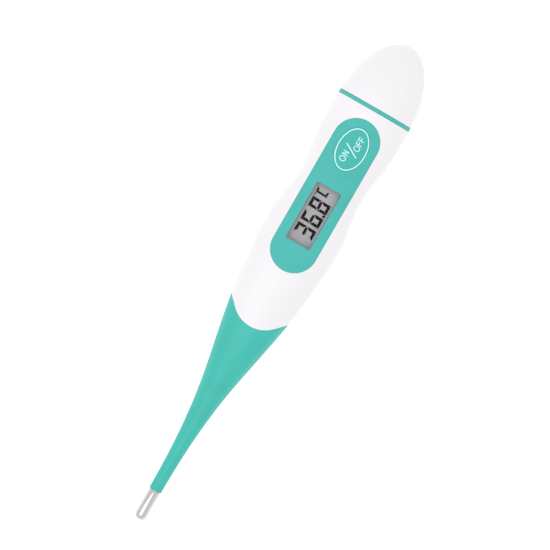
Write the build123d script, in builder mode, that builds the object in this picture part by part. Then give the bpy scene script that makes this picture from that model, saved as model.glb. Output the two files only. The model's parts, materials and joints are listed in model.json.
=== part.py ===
"""Digital stick thermometer with a soft flexible probe.

The thermometer lies on its back: +Y runs from the metal tip to the battery cap, +Z is the
display side, and the origin is under the middle of the whole object on the resting plane.
All sizes are millimetres.
"""

import math
import os

from build123d import *

os.makedirs("parts", exist_ok=True)

# ---------------------------------------------------------------- driving dimensions
LENGTH = 138.0
AXIS_Z = 6.15  # height of the probe's centre line above the resting plane
TIP_Y = -LENGTH / 2
CAP_END_Y = LENGTH / 2

# reach of the cutting shapes, past anything they cut
FAR = 80.0
LOW = -5.0
HIGH = 16.0
FRONT_CUT_Z = 8.0  # cuts made in the front face start this high, inside the hollow

# outer form of the handle: distance along Y, half width, top, bottom, squareness of the section
SQUARE = 2.5  # superellipse exponent; 2 is a plain ellipse
DIP = -0.3  # the form dips this far below the resting plane, which then cuts it flat
FORM = [
    (-22.0, 5.55, 11.10, 1.20, 2.10),
    (-15.0, 6.95, 11.65, 0.60, 2.25),
    (-7.5, 8.35, 12.05, 0.05, 2.40),
    (0.0, 9.33, 12.30, -0.20, SQUARE),
    (7.0, 9.98, 12.45, DIP, SQUARE),
    (13.0, 10.36, 12.50, DIP, SQUARE),
    (18.5, 10.06, 12.42, DIP, SQUARE),
    (23.0, 9.15, 12.30, DIP, SQUARE),
    (28.0, 8.72, 12.22, DIP, SQUARE),
    (33.0, 9.00, 12.28, DIP, SQUARE),
    (38.5, 10.04, 12.45, DIP, SQUARE),
    (44.0, 10.36, 12.55, DIP, SQUARE),
    (50.0, 10.28, 12.50, DIP, SQUARE),
]
WAIST = 8  # the row of FORM where the handle is slimmest
SECTION_POINTS = 24

# cap: a half ellipsoid that continues the handle's last section, with a soft ring under it
SEAL_THICK = 1.05
SEAL_Y = FORM[-1][0]
CAP_Y = SEAL_Y + SEAL_THICK
DOME_STEPS = 9
CAP_WALL = 1.5
CAP_ROOF = 0.8  # thickness of the cap's rim beside the seal
COLLAR_FRONT_Y = 47.1
COLLAR_HALF_WIDTH = 8.25
COLLAR_HALF_HEIGHT = 4.32
COLLAR_WALL = 0.8
COLLAR_Z = 6.1
COLLAR_ROOT = 1.0  # the collar runs this far into the cap

# shell and the soft front panel
WALL = 1.9
PANEL_THICK = 0.8
PANEL_WIDTH = 12.35
PANEL_LENGTH = 43.4
PANEL_Y = 25.45
CEILING = 9.9  # flat ceiling under the display and button, so that the inside slides in
CEILING_HALF = 4.95
CEILING_FRONT_Y = 9.9
CEILING_END_Y = 47.0
CEILING_PAD_FRONT_Y = 31.5
CEILING_PAD_HALF = 8.0
HOLLOW_FRONT_Y = -6.0
HOLLOW_END_Y = 55.0

# display window and lens
WINDOW_Y = 19.55
WINDOW_LENGTH = 16.2
WINDOW_WIDTH = 7.0
WINDOW_CORNER = 0.35
LENS_GAP = 0.05
LENS_CORNER = 0.5
LENS_RECESS = 0.12
LENS_FLANGE = 0.95
LENS_FLANGE_BOTTOM = 10.8
LENS_FLANGE_TOP = 11.2

# power button
BUTTON_Y = 38.9
BUTTON_LENGTH = 11.75
BUTTON_WIDTH = 7.9
BUTTON_GAP = 0.06
BUTTON_FLANGE = 0.5
BUTTON_FLANGE_BOTTOM = 10.85
BUTTON_FLANGE_TOP = 11.2
WELL_FLOOR = 10.45
WELL_GAP = 0.2
STEM_R = 1.6

# circuit board and tactile switch
BOARD_BOTTOM = 5.2
BOARD_TOP = 6.0
BOARD_HALF = 5.2
BOARD_FRONT_Y = -3.5
BOARD_STEP_Y = 45.0
BOARD_REAR_HALF = 4.2
BOARD_REAR_Y = 52.3
BOARD_GAP = 0.1
BOARD_HOLE_YS = [3.2, 47.8]
BOARD_HOLE_R = 0.6
SWITCH_SIZE = 4.5
SWITCH_HEIGHT = 1.6
SWITCH_CORNER = 0.4
SWITCH_BEVEL = 0.2
SWITCH_FLOOR = 0.5
PLUNGER_R = 1.0
PLUNGER_TOP = 8.4
PLUNGER_LENGTH = 1.4
PLUNGER_GAP = 0.08

# liquid crystal cell, its connectors and holder
GLASS_LENGTH = 18.6
GLASS_FRONT_WIDTH = 9.6
GLASS_REAR_WIDTH = 7.2
GLASS_TOP = 9.8
GLASS_THICK = 0.55
GLASS_CORNER = 0.3
REFLECTOR_THICK = 0.1
REFLECTOR_SIDE_INSET = 0.2
REFLECTOR_END_INSET = 0.3
STRIP_WIDTH = 0.9
STRIP_X = 4.25
STRIP_LENGTH = 16.5
STRIP_END_GAP = 0.1
STRIP_SIDE_GAP = 0.05
HOLDER_HALF = 5.2
HOLDER_RIM = 0.6
HOLDER_TOP = 8.8

# carrier frame that slides in from the rear, and its battery cup
FRAME_HALF = 6.0
FRAME_WALL = 0.7
FRAME_FIT = 0.25
FRAME_BOTTOM = 2.0
FRAME_FLOOR = 0.6
FRAME_TOP = 8.2
FRAME_FRONT_Y = -4.2
FRAME_REAR_Y = 46.0
RIB_THICK = 0.8
RIB_YS = [-3.8, 16.0, 32.0, 45.6]
CLIP_YS = [2.0, 36.0]
CLIP_LENGTH = 2.0
CLIP_HEIGHT = 0.5
CLIP_REACH = 0.5
TAIL_HALF = 4.9
TAIL_BOTTOM = 3.4
TAIL_FLOOR_TOP = 3.85
TAIL_TOP = 7.3

# button cell LR41 and its contacts
CELL_R = 3.95
CELL_HEIGHT = 3.6
CELL_Y = 57.6
CELL_BOTTOM = 4.05
CELL_LIP = 0.3
CELL_LIP_INSET = 0.8
CELL_ROUND = 0.25
CUP_R = 4.07
CONTACT_THICK = 0.2
CONTACT_WIDTH = 2.0
CONTACT_START_Y = 50.2

# sounder, chip and small parts
BUZZER_Y = 24.0
BUZZER_R = 4.9
CERAMIC_R = 3.4
BUZZER_THICK = 0.2
CHIP_Y = 7.0
CHIP_R = 2.9
CHIP_HEIGHT = 1.1
CRYSTAL_R = 0.95
CRYSTAL_LENGTH = 5.5
CRYSTAL_Y = 43.6
CRYSTAL_ROUND = 0.2
RESISTOR = (1.6, 0.8, 0.6)
RESISTORS_Y = 6.2
CAPACITOR = (2.0, 1.2, 0.8)
CAPACITORS_Y = 32.6
SOLDER = (0.6, 1.4, 0.4)

# parting line between handle and probe sleeve: a rounded V, seen from the front
PARTING_TIP_Y = -12.6
PARTING_R = 7.9
PARTING_FLANK = 12.0
NOSE_END_Y = -22.5
NOSE_INSET = 1.5
NOSE_WALL = 1.5
NOSE_HOLLOW_Y = -18.0
NOSE_BORE_R = 1.2
NOSE_BORE_END_Y = -10.0
NOSE_REAR_Y = -5.0
NOSE_FORM_END_Y = 8.0
LEAD_BORE_R = 0.75

# probe sleeve: round below ROUND_Y, its radius falls by a power law
ROUND_Y = -28.0
ROUND_R = 4.33
SLEEVE_END_Y = -60.7
SLEEVE_END_R = 1.7
SLEEVE_POWER = 2.27

# flexible stretch: a chain of ball ends in cups, which bend about X and Z in turn
PIVOTS = [-31.0, -36.0, -41.0, -46.0, -51.0, -56.0]
BEND_DEG = 18.0
BALL_SHARE = 0.86  # ball radius over the sleeve's radius at the pivot
BALL_CLEARANCE = 0.08
RIM_MARGIN = 0.12

# metal tip and what is in it
METAL_R = 1.55
METAL_WALL = 0.15
NECK_R = 1.15
NECK_WALL = 0.2
NECK_LENGTH = 2.6
BEAD_R = 0.6
BEAD_Y = -67.0
LEAD_R = 0.12
LEAD_X = 0.45
LEAD_FRONT_Y = -66.7
LEAD_REAR_Y = -0.9
POTTING_REAR_Y = -62.5


def at(y):
    """The plane across the thermometer at y; it faces the tip."""
    return Plane.XZ.offset(-y)


def sleeve_radius(y):
    """Outer radius of the round part of the probe sleeve."""
    share = (y - SLEEVE_END_Y) / (ROUND_Y - SLEEVE_END_Y)
    return SLEEVE_END_R + (ROUND_R - SLEEVE_END_R) * share**SLEEVE_POWER


def ball_radius(pivot):
    """Radius of the ball at a pivot of the flexible stretch."""
    return BALL_SHARE * sleeve_radius(pivot)


def rim_y(pivot):
    """Where the cup round a ball ends, clear of its neighbour at full bend."""
    return pivot + sleeve_radius(pivot) * math.sin(math.radians(BEND_DEG)) + RIM_MARGIN


def section_points(half_width, top, bottom, power):
    """Points round a superellipse, as (x, z), from the +X side."""
    middle = (top + bottom) / 2
    half_height = (top - bottom) / 2
    points = []
    for step in range(SECTION_POINTS):
        angle = 2 * math.pi * step / SECTION_POINTS
        c, s = math.cos(angle), math.sin(angle)
        x = math.copysign(abs(c) ** (2 / power), c) * half_width
        z = math.copysign(abs(s) ** (2 / power), s) * half_height + middle
        points.append((x, z))
    return points


def stations(inset):
    """Every section of the outer form, drawn in by inset, from the probe to the cap's end."""
    rows = []
    for y in (rim_y(PIVOTS[0]), ROUND_Y):
        r = sleeve_radius(y) - inset
        rows.append((y, r, AXIS_Z + r, AXIS_Z - r, 2.0))
    for y, half, top, bottom, power in FORM:
        rows.append((y, half - inset, top - inset, bottom + inset, power))
    last_y, half, top, bottom, power = rows[-1]
    middle = (top + bottom) / 2
    end_angle = math.pi / 2 * DOME_STEPS / (DOME_STEPS + 0.35)
    for step in range(1, DOME_STEPS + 1):
        angle = end_angle * step / DOME_STEPS
        y = last_y + (CAP_END_Y - inset - last_y) * math.sin(angle) / math.sin(end_angle)
        shrink = math.cos(angle)
        dome_top = middle + (top - middle) * shrink
        dome_bottom = middle + (bottom - middle) * shrink
        rows.append((y, half * shrink, dome_top, dome_bottom, power))
    return rows


def form(inset=0.0, low=-FAR, high=FAR):
    """The outer form drawn in by inset, through the stations between low and high."""
    with BuildPart() as solid:
        for y, half, top, bottom, power in stations(inset):
            if low <= y <= high:
                with BuildSketch(at(y)):
                    with BuildLine():
                        Spline(section_points(half, top, bottom, power), periodic=True)
                    make_face()
        loft()
    return solid.part


def slab(y_low, y_high):
    """All space between two Y positions."""
    with BuildPart() as solid:
        with BuildSketch(at(y_high)):
            Rectangle(FAR, FAR)
        extrude(amount=y_high - y_low)
    return solid.part


def block(half_width, y_low, y_high, z_low, z_high, corner=0.0):
    """A box centred on X, with its upright corners rounded if a corner radius is given."""
    with BuildPart() as solid:
        with BuildSketch(Plane.XY.offset(z_low)):
            with Locations((0, (y_low + y_high) / 2)):
                if corner:
                    RectangleRounded(2 * half_width, y_high - y_low, corner)
                else:
                    Rectangle(2 * half_width, y_high - y_low)
        extrude(amount=z_high - z_low)
    return solid.part


def key_oval(margin, z_low, z_high):
    """An upright prism on the button's oval, grown by margin."""
    with BuildPart() as solid:
        with BuildSketch(Plane.XY.offset(z_low)):
            with Locations((0, BUTTON_Y)):
                Ellipse(BUTTON_WIDTH / 2 + margin, BUTTON_LENGTH / 2 + margin)
        extrude(amount=z_high - z_low)
    return solid.part


def drum(radius, y, z_low, z_high):
    """An upright cylinder on the middle plane."""
    with BuildPart() as solid:
        with BuildSketch(Plane.XY.offset(z_low)):
            with Locations((0, y)):
                Circle(radius)
        extrude(amount=z_high - z_low)
    return solid.part


def rod(radius, y_low, y_high, xs=(0.0,)):
    """Round bars along Y at the probe's height."""
    with BuildPart() as solid:
        with BuildSketch(at(y_high)):
            with Locations(*[(x, AXIS_Z) for x in xs]):
                Circle(radius)
        extrude(amount=y_high - y_low)
    return solid.part


def ball(radius, y):
    """A ball on the probe's centre line."""
    with BuildPart() as solid:
        with Locations((0, y, AXIS_Z)):
            Sphere(radius)
    return solid.part


def collar_oval(inset, y_low, y_high):
    """The cap collar's oval bar along Y, drawn in by inset."""
    half, height = COLLAR_HALF_WIDTH - inset, COLLAR_HALF_HEIGHT - inset
    with BuildPart() as solid:
        with BuildSketch(at(y_high)):
            with BuildLine():
                Spline(section_points(half, COLLAR_Z + height, COLLAR_Z - height, SQUARE), periodic=True)
            make_face()
        extrude(amount=y_high - y_low)
    return solid.part


def waist_bar(inset, y_low, y_high):
    """A bar along Y with the waist's section drawn in by inset: what can pass the waist."""
    _, half, top, bottom, power = FORM[WAIST]
    with BuildPart() as solid:
        with BuildSketch(at(y_high)):
            with BuildLine():
                Spline(section_points(half - inset, top - inset, bottom + inset, power), periodic=True)
            make_face()
        extrude(amount=y_high - y_low)
    return solid.part


def sleeve_bar(y_low, y_high):
    """A round stretch of the probe sleeve."""
    steps = 4
    ys = [y_low + (y_high - y_low) * step / steps for step in range(steps + 1)]
    rim = [(sleeve_radius(y), y) for y in ys]
    with BuildPart() as solid:
        with BuildSketch(Plane.XY.offset(AXIS_Z)):
            with BuildLine():
                Spline(rim)
                Polyline(rim[-1], (0, y_high), (0, y_low), rim[0])
            make_face()
        revolve(axis=Axis((0, 0, AXIS_Z), (0, 1, 0)))
    return solid.part


def tip_bar(radius, y_high):
    """The metal tip's round-ended form, out to a radius."""
    shrink = METAL_R - radius
    round_y = TIP_Y + METAL_R
    with BuildPart() as solid:
        with BuildSketch(Plane.XY.offset(AXIS_Z)):
            with BuildLine():
                Line((radius, round_y), (radius, y_high))
                Polyline((radius, y_high), (0, y_high), (0, TIP_Y + shrink))
                RadiusArc((0, TIP_Y + shrink), (radius, round_y), -radius)
            make_face()
        revolve(axis=Axis((0, 0, AXIS_Z), (0, 1, 0)))
    return solid.part


def probe_side_space():
    """The space on the probe's side of the parting line."""
    tangent = PARTING_R * math.sin(math.pi / 4)
    shoulder_y = PARTING_TIP_Y + PARTING_R - PARTING_R * math.cos(math.pi / 4)
    flank_y = shoulder_y + PARTING_FLANK - tangent
    with BuildPart() as solid:
        with BuildSketch(Plane.XY.offset(LOW)):
            with BuildLine():
                Polyline((-tangent, shoulder_y), (-PARTING_FLANK, flank_y), (-PARTING_FLANK, -FAR),
                         (PARTING_FLANK, -FAR), (PARTING_FLANK, flank_y), (tangent, shoulder_y))
                ThreePointArc((-tangent, shoulder_y), (0, PARTING_TIP_Y), (tangent, shoulder_y))
            make_face()
        extrude(amount=HIGH - LOW)
    return solid.part


def panel_stadium():
    """The soft panel's outline, as an upright prism through the front face."""
    with BuildPart() as solid:
        with BuildSketch(Plane.XY.offset(FRONT_CUT_Z)):
            with Locations((0, PANEL_Y)):
                SlotOverall(PANEL_LENGTH, PANEL_WIDTH, rotation=90)
        extrude(amount=HIGH - FRONT_CUT_Z)
    return solid.part


# ---------------------------------------------------------------- shared spaces
outer = form()
above_table = block(FAR / 2, -FAR, FAR, 0, HIGH)
probe_side = probe_side_space()
panel_space = panel_stadium()
panel_floor = form(PANEL_THICK)
window_low = WINDOW_Y - WINDOW_LENGTH / 2
window_high = WINDOW_Y + WINDOW_LENGTH / 2
window = block(WINDOW_WIDTH / 2, window_low, window_high, FRONT_CUT_Z, HIGH, WINDOW_CORNER)
lens_half = WINDOW_WIDTH / 2 + LENS_FLANGE
lens_low, lens_high = window_low - LENS_FLANGE, window_high + LENS_FLANGE
lens_seat = block(lens_half, lens_low, lens_high, LENS_FLANGE_BOTTOM, HIGH, LENS_CORNER)
lens_cover = block(lens_half, lens_low, lens_high, LENS_FLANGE_TOP, HIGH, LENS_CORNER)
lens_flange_space = block(lens_half, lens_low, lens_high, LENS_FLANGE_BOTTOM, LENS_FLANGE_TOP,
                          LENS_CORNER)
axis_space = rod(LEAD_BORE_R, SLEEVE_END_Y, 0)
leads_space = rod(LEAD_R, LEAD_FRONT_Y, LEAD_REAR_Y, (-LEAD_X, LEAD_X))

# ---------------------------------------------------------------- housing
with BuildPart() as panel_recess:
    add(panel_space)
    add(panel_floor, mode=Mode.SUBTRACT)

with BuildPart() as hollow:
    add(form(WALL))
    add(slab(HOLLOW_FRONT_Y, HOLLOW_END_Y), mode=Mode.INTERSECT)
    add(block(CEILING_PAD_HALF, CEILING_PAD_FRONT_Y, CEILING_END_Y, CEILING, HIGH), mode=Mode.SUBTRACT)
    add(block(CEILING_HALF, CEILING_FRONT_Y, HOLLOW_END_Y, BOARD_TOP, CEILING))

with BuildPart() as nose:
    add(form(NOSE_INSET, high=NOSE_FORM_END_Y))
    add(slab(NOSE_END_Y, NOSE_REAR_Y), mode=Mode.INTERSECT)

with BuildPart() as nose_hollow:
    add(form(NOSE_INSET + NOSE_WALL, high=NOSE_FORM_END_Y))
    add(slab(NOSE_HOLLOW_Y, NOSE_REAR_Y), mode=Mode.INTERSECT)

nose_bore = rod(NOSE_BORE_R, NOSE_END_Y - 1, NOSE_BORE_END_Y)
button_well = key_oval(BUTTON_FLANGE + WELL_GAP, WELL_FLOOR, HIGH)
stem_hole = drum(STEM_R + WELL_GAP, BUTTON_Y, FRONT_CUT_Z, HIGH)

with BuildPart() as housing:
    add(outer)
    add(above_table, mode=Mode.INTERSECT)
    add(slab(-FAR, SEAL_Y), mode=Mode.INTERSECT)
    add(probe_side, mode=Mode.SUBTRACT)
    add(nose.part)
    for space in (hollow.part, nose_hollow.part, nose_bore, panel_recess.part,
                  lens_seat, window, button_well, stem_hole):
        add(space, mode=Mode.SUBTRACT)
housing.part.label = "housing"
export_step(housing.part, "parts/housing.step")

# ---------------------------------------------------------------- soft front panel
key_opening = key_oval(BUTTON_GAP, FRONT_CUT_Z, HIGH)
with BuildPart() as front_panel:
    add(panel_recess.part)
    add(lens_cover)
    add(outer, mode=Mode.INTERSECT)
    for space in (lens_flange_space, window, key_opening):
        add(space, mode=Mode.SUBTRACT)
front_panel.part.label = "front_panel"
export_step(front_panel.part, "parts/front_panel.step")

# ---------------------------------------------------------------- display lens
lens_pane = block(WINDOW_WIDTH / 2 - LENS_GAP, window_low + LENS_GAP, window_high - LENS_GAP,
                  LENS_FLANGE_BOTTOM, HIGH, WINDOW_CORNER)
lens_flange = block(lens_half - LENS_GAP, lens_low + LENS_GAP, lens_high - LENS_GAP,
                    LENS_FLANGE_BOTTOM, LENS_FLANGE_TOP, LENS_CORNER)
with BuildPart() as display_lens:
    add(lens_pane)
    add(form(LENS_RECESS), mode=Mode.INTERSECT)
    add(lens_flange)
display_lens.part.label = "display_lens"
export_step(display_lens.part, "parts/display_lens.step")

# ---------------------------------------------------------------- power button and switch
key_plate = key_oval(0, BUTTON_FLANGE_TOP, HIGH)
key_flange = key_oval(BUTTON_FLANGE, BUTTON_FLANGE_BOTTOM, BUTTON_FLANGE_TOP)
key_stem = drum(STEM_R, BUTTON_Y, PLUNGER_TOP, BUTTON_FLANGE_BOTTOM)
with BuildPart() as power_button:
    add(key_plate)
    add(outer, mode=Mode.INTERSECT)
    add(key_flange)
    add(key_stem)
power_button.part.label = "power_button"
export_step(power_button.part, "parts/power_button.step")

with BuildPart() as switch_plunger:
    add(drum(PLUNGER_R, BUTTON_Y, PLUNGER_TOP - PLUNGER_LENGTH, PLUNGER_TOP))
switch_plunger.part.label = "switch_plunger"
export_step(switch_plunger.part, "parts/switch_plunger.step")

with BuildPart() as switch_case:
    with Locations((0, BUTTON_Y, BOARD_TOP)):
        Box(SWITCH_SIZE, SWITCH_SIZE, SWITCH_HEIGHT, align=(Align.CENTER, Align.CENTER, Align.MIN))
    fillet(switch_case.edges().filter_by(Axis.Z), SWITCH_CORNER)
    chamfer(switch_case.faces().sort_by(Axis.Z)[-1].edges(), SWITCH_BEVEL)
    add(drum(PLUNGER_R + PLUNGER_GAP, BUTTON_Y, BOARD_TOP + SWITCH_FLOOR, HIGH), mode=Mode.SUBTRACT)
switch_case.part.label = "switch_case"
export_step(switch_case.part, "parts/switch_case.step")

# ---------------------------------------------------------------- display cell
glass_low = WINDOW_Y - GLASS_LENGTH / 2
glass_high = WINDOW_Y + GLASS_LENGTH / 2
glass_middle = GLASS_TOP - GLASS_THICK
glass_bottom = glass_middle - GLASS_THICK
reflector_bottom = glass_bottom - REFLECTOR_THICK

with BuildPart() as lcd_front_glass:
    add(block(GLASS_FRONT_WIDTH / 2, glass_low, glass_high, glass_middle, GLASS_TOP))
    chamfer(lcd_front_glass.edges().filter_by(Axis.Z), GLASS_CORNER)
lcd_front_glass.part.label = "lcd_front_glass"
export_step(lcd_front_glass.part, "parts/lcd_front_glass.step")

with BuildPart() as lcd_rear_glass:
    add(block(GLASS_REAR_WIDTH / 2, glass_low, glass_high, glass_bottom, glass_middle))
    chamfer(lcd_rear_glass.edges().filter_by(Axis.Z), GLASS_CORNER)
lcd_rear_glass.part.label = "lcd_rear_glass"
export_step(lcd_rear_glass.part, "parts/lcd_rear_glass.step")

with BuildPart() as lcd_reflector:
    add(block(GLASS_REAR_WIDTH / 2 - REFLECTOR_SIDE_INSET, glass_low + REFLECTOR_END_INSET,
              glass_high - REFLECTOR_END_INSET, reflector_bottom, glass_bottom))
lcd_reflector.part.label = "lcd_reflector"
export_step(lcd_reflector.part, "parts/lcd_reflector.step")

with BuildPart() as zebra_strips:
    with Locations((-STRIP_X, WINDOW_Y, BOARD_TOP), (STRIP_X, WINDOW_Y, BOARD_TOP)):
        Box(STRIP_WIDTH, STRIP_LENGTH, glass_middle - BOARD_TOP,
            align=(Align.CENTER, Align.CENTER, Align.MIN))
zebra_strips.part.label = "zebra_strips"
export_step(zebra_strips.part, "parts/zebra_strips.step")

strip_room = STRIP_LENGTH / 2 + STRIP_END_GAP
strip_side = STRIP_X + STRIP_WIDTH / 2 + STRIP_SIDE_GAP
with BuildPart() as lcd_holder:
    add(block(HOLDER_HALF, glass_low - HOLDER_RIM, glass_high + HOLDER_RIM, BOARD_TOP, HOLDER_TOP))
    add(block(strip_side, WINDOW_Y - strip_room, WINDOW_Y + strip_room, BOARD_TOP, HIGH),
        mode=Mode.SUBTRACT)
    add(block(strip_side, glass_low - STRIP_SIDE_GAP, glass_high + STRIP_SIDE_GAP, reflector_bottom, HIGH),
        mode=Mode.SUBTRACT)
lcd_holder.part.label = "lcd_holder"
export_step(lcd_holder.part, "parts/lcd_holder.step")

# ---------------------------------------------------------------- circuit board and what is on it
with BuildPart() as circuit_board:
    add(block(BOARD_HALF, BOARD_FRONT_Y, BOARD_STEP_Y, BOARD_BOTTOM, BOARD_TOP))
    add(block(BOARD_REAR_HALF, BOARD_STEP_Y, BOARD_REAR_Y, BOARD_BOTTOM, BOARD_TOP))
    with Locations(*[(0, hole_y, BOARD_TOP) for hole_y in BOARD_HOLE_YS]):
        Hole(BOARD_HOLE_R)
circuit_board.part.label = "circuit_board"
export_step(circuit_board.part, "parts/circuit_board.step")

with BuildPart() as chip_blob:
    with BuildSketch(Plane.XY.offset(BOARD_BOTTOM)):
        with Locations((0, CHIP_Y)):
            Circle(CHIP_R)
    extrude(amount=-CHIP_HEIGHT)
    fillet(chip_blob.faces().sort_by(Axis.Z)[0].edges(), CHIP_HEIGHT * 0.8)
chip_blob.part.label = "chip_blob"
export_step(chip_blob.part, "parts/chip_blob.step")

with BuildPart() as small_components:
    with Locations((0, RESISTORS_Y, BOARD_TOP)):
        with GridLocations(2.6, 2.2, 3, 2):
            Box(*RESISTOR, align=(Align.CENTER, Align.CENTER, Align.MIN))
    with Locations((0, CAPACITORS_Y, BOARD_TOP)):
        with GridLocations(3.0, 2.0, 2, 2):
            Box(*CAPACITOR, align=(Align.CENTER, Align.CENTER, Align.MIN))
small_components.part.label = "small_components"
export_step(small_components.part, "parts/small_components.step")

with BuildPart() as crystal:
    with BuildSketch(Plane.YZ.offset(-CRYSTAL_LENGTH / 2)):
        with Locations((CRYSTAL_Y, BOARD_TOP + CRYSTAL_R)):
            Circle(CRYSTAL_R)
    extrude(amount=CRYSTAL_LENGTH)
    fillet(crystal.edges(), CRYSTAL_ROUND)
crystal.part.label = "crystal"
export_step(crystal.part, "parts/crystal.step")

with BuildPart() as solder_joints:
    with Locations((-LEAD_X, LEAD_REAR_Y - 0.5, BOARD_TOP), (LEAD_X, LEAD_REAR_Y - 0.5, BOARD_TOP)):
        Box(*SOLDER, align=(Align.CENTER, Align.CENTER, Align.MIN))
    add(leads_space, mode=Mode.SUBTRACT)
solder_joints.part.label = "solder_joints"
export_step(solder_joints.part, "parts/solder_joints.step")

# ---------------------------------------------------------------- sounder
floor_top = FRAME_BOTTOM + FRAME_FLOOR
with BuildPart() as buzzer_plate:
    add(drum(BUZZER_R, BUZZER_Y, floor_top, floor_top + BUZZER_THICK))
buzzer_plate.part.label = "buzzer_plate"
export_step(buzzer_plate.part, "parts/buzzer_plate.step")

with BuildPart() as buzzer_ceramic:
    add(drum(CERAMIC_R, BUZZER_Y, floor_top + BUZZER_THICK, floor_top + 2 * BUZZER_THICK))
buzzer_ceramic.part.label = "buzzer_ceramic"
export_step(buzzer_ceramic.part, "parts/buzzer_ceramic.step")

# ---------------------------------------------------------------- carrier frame with battery cup
inner_half = FRAME_HALF - FRAME_WALL
tail_rim = block(TAIL_HALF, FRAME_REAR_Y - RIB_THICK, CELL_Y, TAIL_BOTTOM, TAIL_TOP)
tail_end = drum(TAIL_HALF, CELL_Y, TAIL_BOTTOM, TAIL_TOP)
board_room = block(BOARD_REAR_HALF + BOARD_GAP, FRAME_REAR_Y, BOARD_REAR_Y + 0.6, TAIL_FLOOR_TOP, HIGH)
cell_cup = drum(CUP_R, CELL_Y, TAIL_FLOOR_TOP, HIGH)
contact_slot = block(CONTACT_WIDTH / 2 + 0.2, BOARD_REAR_Y, CELL_Y, TAIL_FLOOR_TOP, HIGH)
board_way = block(BOARD_HALF, BOARD_FRONT_Y, FRAME_REAR_Y, BOARD_BOTTOM, HIGH)
with BuildPart() as inner_frame:
    add(block(FRAME_HALF, FRAME_FRONT_Y, FRAME_REAR_Y, FRAME_BOTTOM, FRAME_TOP))
    add(block(inner_half, FRAME_FRONT_Y - 1, FRAME_REAR_Y + 1, floor_top, HIGH), mode=Mode.SUBTRACT)
    for rib_y in RIB_YS:
        add(block(inner_half, rib_y - RIB_THICK / 2, rib_y + RIB_THICK / 2, floor_top, BOARD_BOTTOM))
    add(waist_bar(WALL + FRAME_FIT, FRAME_FRONT_Y, FRAME_REAR_Y), mode=Mode.INTERSECT)
    add(tail_rim)
    add(tail_end)
    for space in (board_way, board_room, cell_cup, contact_slot):
        add(space, mode=Mode.SUBTRACT)
    for clip_y in CLIP_YS:
        clip_low, clip_high = clip_y - CLIP_LENGTH / 2, clip_y + CLIP_LENGTH / 2
        add(block(inner_half, clip_low, clip_high, BOARD_TOP, BOARD_TOP + CLIP_HEIGHT))
        add(block(inner_half - CLIP_REACH, clip_low - 0.5, clip_high + 0.5, BOARD_TOP, HIGH),
            mode=Mode.SUBTRACT)
inner_frame.part.label = "inner_frame"
export_step(inner_frame.part, "parts/inner_frame.step")

# ---------------------------------------------------------------- button cell and contacts
with BuildPart() as button_cell:
    add(drum(CELL_R, CELL_Y, CELL_BOTTOM + CELL_LIP, CELL_BOTTOM + CELL_HEIGHT))
    add(drum(CELL_R - CELL_LIP_INSET, CELL_Y, CELL_BOTTOM, CELL_BOTTOM + CELL_LIP))
    fillet(button_cell.faces().sort_by(Axis.Z)[-1].edges(), CELL_ROUND)
button_cell.part.label = "button_cell"
export_step(button_cell.part, "parts/button_cell.step")

strip_half = CONTACT_WIDTH / 2
with BuildPart() as negative_contact:
    add(block(strip_half, CONTACT_START_Y, BOARD_REAR_Y + CONTACT_THICK, BOARD_BOTTOM - CONTACT_THICK,
              BOARD_BOTTOM))
    add(block(strip_half, BOARD_REAR_Y, BOARD_REAR_Y + CONTACT_THICK, TAIL_FLOOR_TOP, BOARD_BOTTOM))
    add(block(strip_half, BOARD_REAR_Y, CELL_Y + 1, TAIL_FLOOR_TOP, TAIL_FLOOR_TOP + CONTACT_THICK))
negative_contact.part.label = "negative_contact"
export_step(negative_contact.part, "parts/negative_contact.step")

cell_front_y = CELL_Y - CELL_R
with BuildPart() as positive_contact:
    add(block(strip_half, CONTACT_START_Y, cell_front_y, BOARD_TOP, BOARD_TOP + CONTACT_THICK))
    add(block(strip_half, cell_front_y - CONTACT_THICK, cell_front_y, BOARD_BOTTOM, TAIL_TOP))
positive_contact.part.label = "positive_contact"
export_step(positive_contact.part, "parts/positive_contact.step")

# ---------------------------------------------------------------- battery cap and its soft ring
collar = collar_oval(0, COLLAR_FRONT_Y, CAP_Y + COLLAR_ROOT)
with BuildPart() as cap_hollow:
    add(form(CAP_WALL, low=SEAL_Y))
    add(slab(CAP_Y + CAP_ROOF, FAR), mode=Mode.INTERSECT)
    add(collar_oval(COLLAR_WALL, COLLAR_FRONT_Y - 1, CAP_Y + COLLAR_ROOT + 0.2))

with BuildPart() as battery_cap:
    add(outer)
    add(slab(CAP_Y, FAR), mode=Mode.INTERSECT)
    add(collar)
    add(above_table, mode=Mode.INTERSECT)
    add(cap_hollow.part, mode=Mode.SUBTRACT)
battery_cap.part.label = "battery_cap"
export_step(battery_cap.part, "parts/battery_cap.step")

with BuildPart() as cap_seal:
    add(outer)
    add(slab(SEAL_Y, CAP_Y), mode=Mode.INTERSECT)
    add(above_table, mode=Mode.INTERSECT)
    add(collar, mode=Mode.SUBTRACT)
cap_seal.part.label = "cap_seal"
export_step(cap_seal.part, "parts/cap_seal.step")

# ---------------------------------------------------------------- soft probe sleeve
with BuildPart() as sleeve_root:
    add(outer)
    add(above_table, mode=Mode.INTERSECT)
    add(probe_side, mode=Mode.INTERSECT)
    add(nose.part, mode=Mode.SUBTRACT)
    add(axis_space, mode=Mode.SUBTRACT)
    add(ball(ball_radius(PIVOTS[0]) + BALL_CLEARANCE, PIVOTS[0]), mode=Mode.SUBTRACT)
sleeve_root.part.label = "sleeve_root"
export_step(sleeve_root.part, "parts/sleeve_root.step")

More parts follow.
